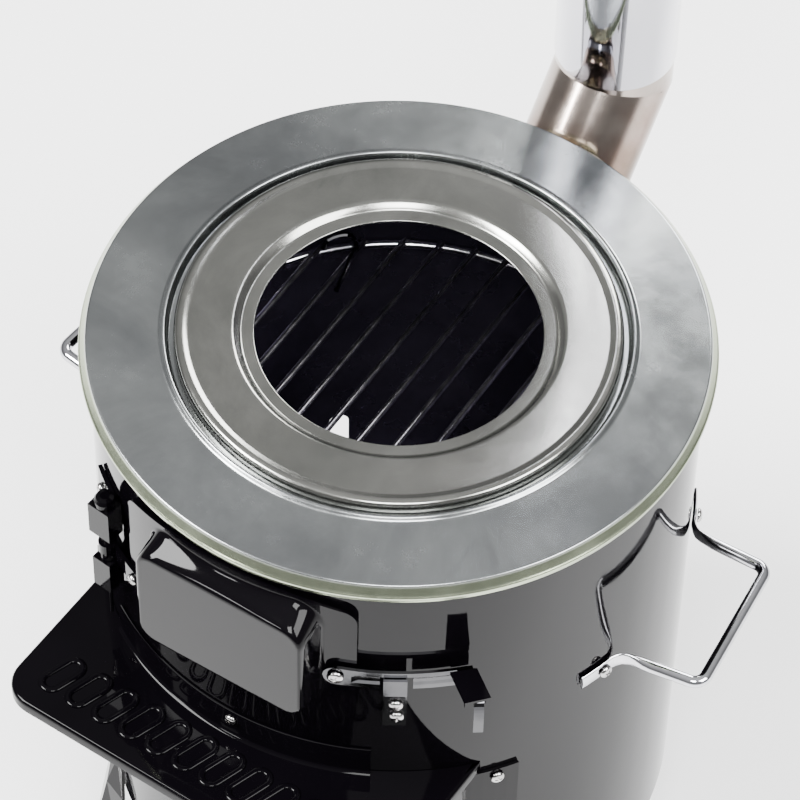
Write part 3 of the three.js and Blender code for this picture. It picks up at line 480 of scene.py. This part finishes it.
def door():
    middle = sum(DOOR_AZ) / 2
    half = (DOOR_AZ[1] - DOOR_AZ[0]) / 2
    degrees_per_mm = 180 / (math.pi * DOOR_R)

    def rise(x, z):
        """1 on the panel's face, falling to 0 over the bevels round its rounded rectangle."""
        middle_z = sum(PANEL_Z) / 2
        qx = abs(x - sum(PANEL_X) / 2) - ((PANEL_X[1] - PANEL_X[0]) / 2 - PANEL_CORNER)
        qz = abs(z - middle_z) - ((PANEL_Z[1] - PANEL_Z[0]) / 2 - PANEL_CORNER)
        away = math.hypot(max(qx, 0), max(qz, 0)) - PANEL_CORNER
        turn = math.atan2(max(qz, 0), max(qx, 0))
        upright = BEVEL_TOP if z > middle_z else BEVEL_LOW
        return 1 - away / (BEVEL_SIDE * math.cos(turn) ** 2 + upright * math.sin(turn) ** 2)

    def skin(thickness):
        def place(u, v):
            az = middle + u * half
            high = DOOR_Z[1] - DOOR_TOP_SAG * u * u
            z = DOOR_Z[0] + (high - DOOR_Z[0]) * v
            edge = min(z - DOOR_Z[0], high - z)
            if edge < DOOR_CORNER:
                inset = DOOR_CORNER - math.sqrt(max(0.0, DOOR_CORNER ** 2 - (DOOR_CORNER - edge) ** 2))
                az = middle + u * (half - inset * degrees_per_mm)
            base = DOOR_R - thickness
            panel = (-PANEL_Y - thickness) / -math.sin(math.radians(az))
            x = base * math.cos(math.radians(az))
            t = min(1.0, max(0.0, rise(x, z)))
            t = t * t * (3 - 2 * t)
            return polar(base + (panel - base) * t, az, z)
        return place

    us = span(-1, 1, 150)
    vs = sorted(set(span(0, 0.1, 16) + span(0.1, 0.9, 90) + span(0.9, 1, 16)))
    stands_for(grid_slab("door_sheet", us, vs, skin(0), skin(SHEET), ENAMEL, 50), "door", "door_panel")


door()


# ---- shelf -------------------------------------------------------------------------------------------
SHELF_Z = LID - 153.5
SHELF_TURN = -1.8               # degrees about the stove's axis
SHELF_X = (-103.0, 114.5)
SHELF_FRONT = -192.5
SHELF_CORNER = 17.0
SHELF_ARC = BODY_R + GAP
SHELF_LIP = -7                  # the folded edge's lower end, below the deck
SHELF_FOLD = 2.2                # outer radius of that fold
UPSTAND_AZ = (-120, -60)
RINGS = 12
RING_START = 22
RING_PITCH = 16
RING_INSET = 24
RING_LEAN = -18
RING_END_R = 4.9
RING_HALF_LENGTH = 6.4          # from the ring's middle to the centre of each round end


def shelf_deck():
    x0, x1 = SHELF_X
    a0 = -math.degrees(math.acos(x0 / SHELF_ARC))
    a1 = -math.degrees(math.acos(x1 / SHELF_ARC))
    edge = []     # (point, outward direction) from the left rear round the front to the right rear
    left_y = SHELF_ARC * math.sin(math.radians(a0))
    right_y = SHELF_ARC * math.sin(math.radians(a1))
    front = SHELF_FRONT + SHELF_CORNER
    edge += [(Vector((x0, y, 0)), Vector((-1, 0, 0))) for y in span(left_y, front, 8)[:-1]]
    for q in span(180, 270, 14):
        edge.append((Vector((x0 + SHELF_CORNER, front, 0)) + polar(SHELF_CORNER, q), polar(1, q)))
    edge += [(Vector((x, SHELF_FRONT, 0)), Vector((0, -1, 0)))
             for x in span(x0 + SHELF_CORNER, x1 - SHELF_CORNER, 20)[1:-1]]
    for q in span(270, 360, 14):
        edge.append((Vector((x1 - SHELF_CORNER, front, 0)) + polar(SHELF_CORNER, q), polar(1, q)))
    edge += [(Vector((x1, y, 0)), Vector((1, 0, 0))) for y in span(front, right_y, 8)[1:]]
    n = len(edge)
    r = SHELF_FOLD
    inner = r - SHEET
    # (inset, height) down the fold's outside to the lip's end, then back up its inside
    profile = [(r - r * math.sin(q), r * math.cos(q) - r) for q in span(0, math.pi / 2, 6)]
    profile += [(0, SHELF_LIP), (SHEET, SHELF_LIP)]
    profile += [(r - inner * math.sin(q), inner * math.cos(q) - r) for q in span(math.pi / 2, 0, 4)]
    back = [polar(SHELF_ARC, a) for a in span(a0, a1, n - 1)]
    points = []
    for depth in (0.0, -SHEET):
        points += [Vector((p.x, p.y, SHELF_Z + depth)) for p in back]
    for inset, drop in profile:
        points += [Vector((p.x, p.y, SHELF_Z + drop)) - out * inset for p, out in edge]
    faces = []
    rows = len(profile)
    for i in range(n - 1):
        faces.append((i, n * 2 + i, n * 2 + i + 1, i + 1))
        last = n * (rows + 1)
        faces.append((n + i, n + i + 1, last + i + 1, last + i))
        faces.append((i, i + 1, n + i + 1, n + i))
        for k in range(rows - 1):
            a = n * (k + 2) + i
            faces.append((a, a + n, a + n + 1, a + 1))
    plate = make("shelf_deck", points, faces, SHELF_ENAMEL, SHELF_TURN, 40)
    stands_for(plate, "stove", "shelf_plate")


def shelf_upstand():
    """The shelf's rear edge, folded up against the body."""
    rise = [(0.0, SHELF_Z - 1.2), (0.0, SHELF_Z + 18.2), (0.35, SHELF_Z + 18.9), (0.85, SHELF_Z + 18.9),
            (1.2, SHELF_Z + 18.2), (1.2, SHELF_Z + 2.0), (1.9, SHELF_Z + 0.7), (3.2, SHELF_Z + 0.05),
            (3.2, SHELF_Z - 1.2)]
    steps = span(*UPSTAND_AZ, 100)
    points = [polar(SHELF_ARC + r, a, z) for a in steps for r, z in rise]
    m = len(rise)
    faces = [(i * m + k, i * m + (k + 1) % m, (i + 1) * m + (k + 1) % m, (i + 1) * m + k)
             for i in range(len(steps) - 1) for k in range(m)]
    faces += [tuple(reversed(range(m))), tuple(range((len(steps) - 1) * m, len(steps) * m))]
    faces = [tuple(reversed(f)) for f in faces]
    stands_for(make("shelf_upstand", points, faces, SHELF_ENAMEL, SHELF_TURN, 40), "stove")


def shelf_rings():
    """A row of plain embossed rings along the shelf's front."""
    lean = Matrix.Rotation(math.radians(RING_LEAN), 3, "Z")
    loop = []
    for start, middle in ((0, RING_HALF_LENGTH), (180, -RING_HALF_LENGTH)):
        for q in span(start, start + 180, 12):
            a = math.radians(q)
            loop.append(Vector((RING_END_R * math.cos(a), middle + RING_END_R * math.sin(a), 0)))
    for k in range(RINGS):
        centre = Vector((SHELF_X[0] + RING_START + k * RING_PITCH, SHELF_FRONT + RING_INSET, SHELF_Z))
        path = [centre + lean @ p for p in loop]
        ring = sweep(f"shelf_ring_{k + 1}", path, [1.8] * len(path), [1.1] * len(path), SHELF_ENAMEL, 16,
                     SHELF_TURN, closed=True)
        stands_for(ring, "stove")


shelf_deck()
shelf_upstand()
shelf_rings()


# ---- carrying handles ----------------------------------------------------------------------------------
HANDLE_TURN = 5.3               # degrees to the rear of straight sideways
HANDLE_Z = LID - 119
HANDLE_WIRE = 3.1               # radius of the round wire
HANDLE_TAB = (1.1, 4.4)         # half thickness and half height where it is pressed flat
HANDLE_TAB_AZ = (25.8, 18.4)    # from the handle's own middle
HANDLE_BEND = 6.4
HANDLE_BEND_X = 178.9
HANDLE_BEND_Y = 32.8


def handles():
    tab = BODY_R + GAP + 1.25
    # (point, flatness) over one half, from the pressed tab on the body out to the grip's middle
    half = [(polar(tab, a), 1.0) for a in span(*HANDLE_TAB_AZ, 8)]
    bend = [(143.2, 44.6, 1.0), (145.2, 42.6, 1.0), (148.2, 41.6, 0.9), (151.5, 41.1, 0.6),
            (155.5, 40.7, 0.15), (160, 40.4, 0.0), (178.4, 39.2, 0.0)]
    half += [(Vector((x, y, 0)), f) for x, y, f in bend]
    for k in range(1, 10):
        a = k / 9 * math.pi / 2
        half.append((Vector((HANDLE_BEND_X + HANDLE_BEND * math.sin(a),
                             HANDLE_BEND_Y + HANDLE_BEND * math.cos(a), 0)), 0.0))
    path = half + [(Vector((p.x, -p.y, 0)), f) for p, f in reversed(half)]
    widths = [HANDLE_WIRE * (1 - f) + HANDLE_TAB[0] * f for p, f in path]
    heights = [HANDLE_WIRE * (1 - f) + HANDLE_TAB[1] * f for p, f in path]
    line = [p + Vector((0, 0, HANDLE_Z)) for p, f in path]
    for side, turn in (("right", HANDLE_TURN), ("left", 180 - HANDLE_TURN)):
        bar = sweep(f"handle_bar_{side}", line, widths, heights, CHROME, 24, turn)
        stands_for(bar, "stove", f"handle_{side}")


handles()


# ---- chimney -------------------------------------------------------------------------------------------
CHIMNEY_TURN = 1.5              # degrees about the stove's axis
PIPE_Y = 209.0
PIPE_R = 30.75
PIPE_WALL = 0.7
PIPE_BOTTOM = LID + 9
PIPE_LENGTH = 240.0
NECK = 26.0                     # the narrowed upper end, which the next pipe slides over
ELBOW_R = 29.9
ELBOW_WALL = 0.8
ELBOW_START_Y = 151.2
ELBOW_BEND_Y = 170              # the first mitre; the second is under the pipe
ELBOW_REACH = 30                # how far the elbow goes up into the first pipe
MITRE_SOFTENING = 2.0


def pipe(name, bottom, body, node):
    r, ri = PIPE_R, PIPE_R - PIPE_WALL
    top = bottom + PIPE_LENGTH
    neck_inside = ELBOW_R - PIPE_WALL
    profile = [(ri, bottom), (r, bottom), (r, top - NECK - 3), (ELBOW_R, top - NECK), (ELBOW_R, top),
               (neck_inside, top), (neck_inside, top - NECK + 0.3), (ri, top - NECK - 2.7)]
    obj = lathe(name, fillet(profile, 0.3, 2), PIPE, 128, PIPE_Y, CHIMNEY_TURN, 50)
    stands_for(obj, body, node)


pipe("pipe_first", PIPE_BOTTOM, "pipe_lower", "chimney_pipe_lower")
pipe("pipe_second", PIPE_BOTTOM + PIPE_LENGTH - NECK + 0.5, "pipe_upper", "chimney_pipe_upper")


def elbow():
    line = [Vector((0, ELBOW_START_Y, FLUE_Z)), Vector((0, ELBOW_BEND_Y, FLUE_Z)),
            Vector((0, PIPE_Y, FLUE_Z + PIPE_Y - ELBOW_BEND_Y)),
            Vector((0, PIPE_Y, PIPE_BOTTOM + ELBOW_REACH))]
    # Each mitre is softened over three close rings.
    path = [line[0]]
    for i in (1, 2):
        for t in (-MITRE_SOFTENING, 0.0, MITRE_SOFTENING):
            other = line[i - 1] if t < 0 else line[i + 1]
            path.append(line[i] + (other - line[i]).normalized() * abs(t))
    path.append(line[3])
    sides = 96
    points = []
    n = len(path)
    for radius in (ELBOW_R, ELBOW_R - ELBOW_WALL):
        for i in range(n):
            before = (path[i] - path[i - 1]).normalized() if i else (path[1] - path[0]).normalized()
            after = (path[i + 1] - path[i]).normalized() if i < n - 1 else before
            normal = (before + after).normalized()
            up = before.cross(Vector((1, 0, 0))).normalized()
            for k in range(sides):
                q = 2 * math.pi * k / sides
                offset = Vector((math.cos(q) * radius, 0, 0)) + up * (math.sin(q) * radius)
                points.append(path[i] + offset - before * (offset.dot(normal) / before.dot(normal)))
    faces = []

    def at(s, i, k):
        return (s * n + i) * sides + k % sides

    for k in range(sides):
        for i in range(n - 1):
            faces.append((at(0, i, k), at(0, i, k + 1), at(0, i + 1, k + 1), at(0, i + 1, k)))
            faces.append((at(1, i, k), at(1, i + 1, k), at(1, i + 1, k + 1), at(1, i, k + 1)))
        faces.append((at(0, 0, k), at(1, 0, k), at(1, 0, k + 1), at(0, 0, k + 1)))
        faces.append((at(0, n - 1, k), at(0, n - 1, k + 1), at(1, n - 1, k + 1), at(1, n - 1, k)))
    stands_for(make("elbow_tube", points, faces, TINTED, CHIMNEY_TURN, 14), "elbow", "flue_elbow")


elbow()


# ---- screws --------------------------------------------------------------------------------------------
def screw_mesh(radius, height):
    """A pan head with a cross recess, axis along +X, top at x = 0."""
    profile = fillet([(0.01, -height), (radius, -height), (radius, -height * 0.62),
                      (radius * 0.8, -height * 0.2), (radius * 0.42, 0), (0.01, 0)], 0.5, 3)
    head = lathe("screw_head", profile, SCREW, 48, -AXIS_Y)
    cutters = []
    for across, along in ((radius * 0.1, radius * 0.52), (radius * 0.52, radius * 0.1)):
        corners = [Vector((x, y - AXIS_Y, z)) for z in (-height * 0.38, height)
                   for x, y in ((-across, -along), (across, -along), (across, along), (-across, along))]
        faces = [(3, 2, 1, 0), (4, 5, 6, 7), (0, 1, 5, 4), (1, 2, 6, 5), (2, 3, 7, 6), (3, 0, 4, 7)]
        cutters.append(make("cut_cross", corners, faces, SCREW))
    carve(head, cutters)
    head.data.transform(Matrix.Rotation(math.radians(90), 4, "Y"))
    return head


SMALL_SCREW_R = 2.8
SMALL_HEAD = 2.0
LARGE_HEAD = 2.35
SCREW_TWIST = 0.7               # radians from one screw's recess to the next one's


def screws():
    body_of_node = {n: b for b, ns in frame["record"]["behaviour"]["bodies"].items() for n in ns}
    heads = {}                  # one carved head for each size, copied for the rest
    for index, name in enumerate(sorted(n for n in frame["nodes"] if "screw" in n)):
        points = [v.co / MM - Vector((0, AXIS_Y, 0)) for v in frame["nodes"][name].data.vertices]
        centre = sum(points, Vector()) / len(points)
        azimuth = math.atan2(centre.y, centre.x)
        out = Vector((math.cos(azimuth), math.sin(azimuth), 0))
        top = max(p.dot(out) for p in points)
        radius = max((p - out * p.dot(out) - Vector((0, 0, centre.z))).length for p in points)
        height = SMALL_HEAD if radius < SMALL_SCREW_R else LARGE_HEAD
        key = round(radius, 1)
        if key not in heads:
            heads[key] = screw_mesh(radius, height)
            head = heads[key]
        else:
            head = heads[key].copy()
            head.data = heads[key].data.copy()
            bpy.context.scene.collection.objects.link(head)
            head.parent = None      # the copied head already rides a body
        spin = Matrix.Rotation(azimuth, 4, "Z") @ Matrix.Rotation(SCREW_TWIST * index, 4, "X")
        place = Matrix.Translation(Vector((out.x * top, out.y * top + AXIS_Y, centre.z)) * MM) @ spin
        head.name = name + "_head"
        head.matrix_world = place
        head.data.name = name + "_head"
        stands_for(head, body_of_node[name], name)


screws()


# ---- finishes on the CAD pieces that are shown as they are ---------------------------------------------
EDGE_BEVEL = 0.0003             # metres
FINISHES = {
    # The base pan and grate supports inside the fire box get the soot colour with its painted shade.
    "base_pan": SOOT_AND_SHADE, "grate_support_1": SOOT_AND_SHADE, "grate_support_2": SOOT_AND_SHADE, "grate_support_3": SOOT_AND_SHADE,
    "grate_support_4": SOOT_AND_SHADE, "grate_lug": CHROME, "hinge_bracket_upper": ENAMEL_DEEP,
    "hinge_bracket_lower": ENAMEL_DEEP, "hinge_door_strap": ENAMEL_DEEP, "hinge_pin": ENAMEL_DEEP,
    "latch_lever": LATCH, "latch_tab": ENAMEL_DEEP, "latch_keeper": LATCH,
    "shelf_bracket_left": SHELF_ENAMEL, "shelf_bracket_right": SHELF_ENAMEL, "flue_flange": CHROME,
    "leg_front_left": ENAMEL, "leg_front_right": ENAMEL, "leg_rear": ENAMEL,
}
for name, material in FINISHES.items():
    node = frame["nodes"][name]
    node.data.materials.clear()
    node.data.materials.append(material)
    node.data.shade_smooth()
    node.data.set_sharp_from_angle(angle=math.radians(28))
    bevel = node.modifiers.new("soft_edges", "BEVEL")
    bevel.width = EDGE_BEVEL
    bevel.segments = 2
    bevel.limit_method = "ANGLE"
    bevel.angle_limit = math.radians(40)


# ---- studio ------------------------------------------------------------------------------------------
FLOOR_HALF = 6                  # metres
FLOOR_Z = -0.0005
AIM = Vector((0, 0, 0.3))
# name: (place, size, power) of each square light, in metres and watts
LIGHTS = {
    "key": ((-1.5, -1.3, 2.3), 1.1, 275),
    "fill": ((1.9, 0.0, 2.1), 1.3, 128),
    "back": ((-0.30, 2.2, 1.65), 0.9, 60),
    "front": ((0.75, -1.2, 2.3), 0.8, 70),
    "glint_a": ((-0.70, -1.95, 1.45), 0.22, 7),
    "glint_b": ((-1.30, -1.60, 1.45), 0.22, 7),
}
# the air's tone by height: from the horizon, over a darker band, up to a white zenith
AIR = ((0.0, (0.45, 0.45, 0.4545)), (0.4, (0.30, 0.30, 0.303)), (1.0, (1.0, 1.0, 1.0)))


def studio():
    s = Shader("studio_floor")
    s.colour(s.ramp(s.noise(2, 2), (0.3, (0.93, 0.93, 0.93)), (0.7, (0.95, 0.95, 0.95))))
    s.set(Roughness=0.6)
    mesh = bpy.data.meshes.new("studio_floor")
    corners = ((-1, -1), (1, -1), (1, 1), (-1, 1))
    mesh.from_pydata([(x * FLOOR_HALF, y * FLOOR_HALF, FLOOR_Z) for x, y in corners], [], [(0, 1, 2, 3)])
    mesh.materials.append(s.material)
    floor = bpy.data.objects.new("studio_floor", mesh)
    bpy.context.scene.collection.objects.link(floor)
    world = bpy.data.worlds.new("studio_air")
    world.use_nodes = True
    background = world.node_tree.nodes["Background"]
    background.inputs["Strength"].default_value = 1.0
    tree = world.node_tree
    coords = tree.nodes.new("ShaderNodeTexCoord")
    split = tree.nodes.new("ShaderNodeSeparateXYZ")
    ramp = tree.nodes.new("ShaderNodeValToRGB")
    ramp.color_ramp.elements.new(AIR[1][0])
    for element, (position, tone) in zip(ramp.color_ramp.elements, AIR):
        element.position = position
        element.color = (*tone, 1)
    tree.links.new(coords.outputs["Generated"], split.inputs["Vector"])
    tree.links.new(split.outputs["Z"], ramp.inputs["Fac"])
    tree.links.new(ramp.outputs["Color"], background.inputs["Color"])
    bpy.context.scene.world = world
    for name, (place, size, power) in LIGHTS.items():
        light = bpy.data.lights.new("light_" + name, "AREA")
        light.shape = "SQUARE"
        light.size = size
        light.energy = power
        obj = bpy.data.objects.new("light_" + name, light)
        obj.location = place
        obj.rotation_euler = (AIM - Vector(place)).to_track_quat("-Z", "Y").to_euler()
        bpy.context.scene.collection.objects.link(obj)


CAMERA_LENS = 191.35
CAMERA_PLACE = Vector((669.93, -1090.80 + AXIS_Y, 1561.66 + LID))
CAMERA_RIGHT = Vector((0.84215, 0.53902, 0.01553))
CAMERA_UP = Vector((-0.43051, 0.65471, 0.62130))


def camera():
    data = bpy.data.cameras.new("camera")
    data.sensor_width = 36
    data.lens = CAMERA_LENS
    data.clip_end = 50
    obj = bpy.data.objects.new("camera", data)
    matrix = Matrix((CAMERA_RIGHT, CAMERA_UP, CAMERA_RIGHT.cross(CAMERA_UP))).transposed().to_4x4()
    matrix.translation = CAMERA_PLACE * MM
    obj.matrix_world = matrix
    bpy.context.scene.collection.objects.link(obj)
    bpy.context.scene.camera = obj


studio()
camera()
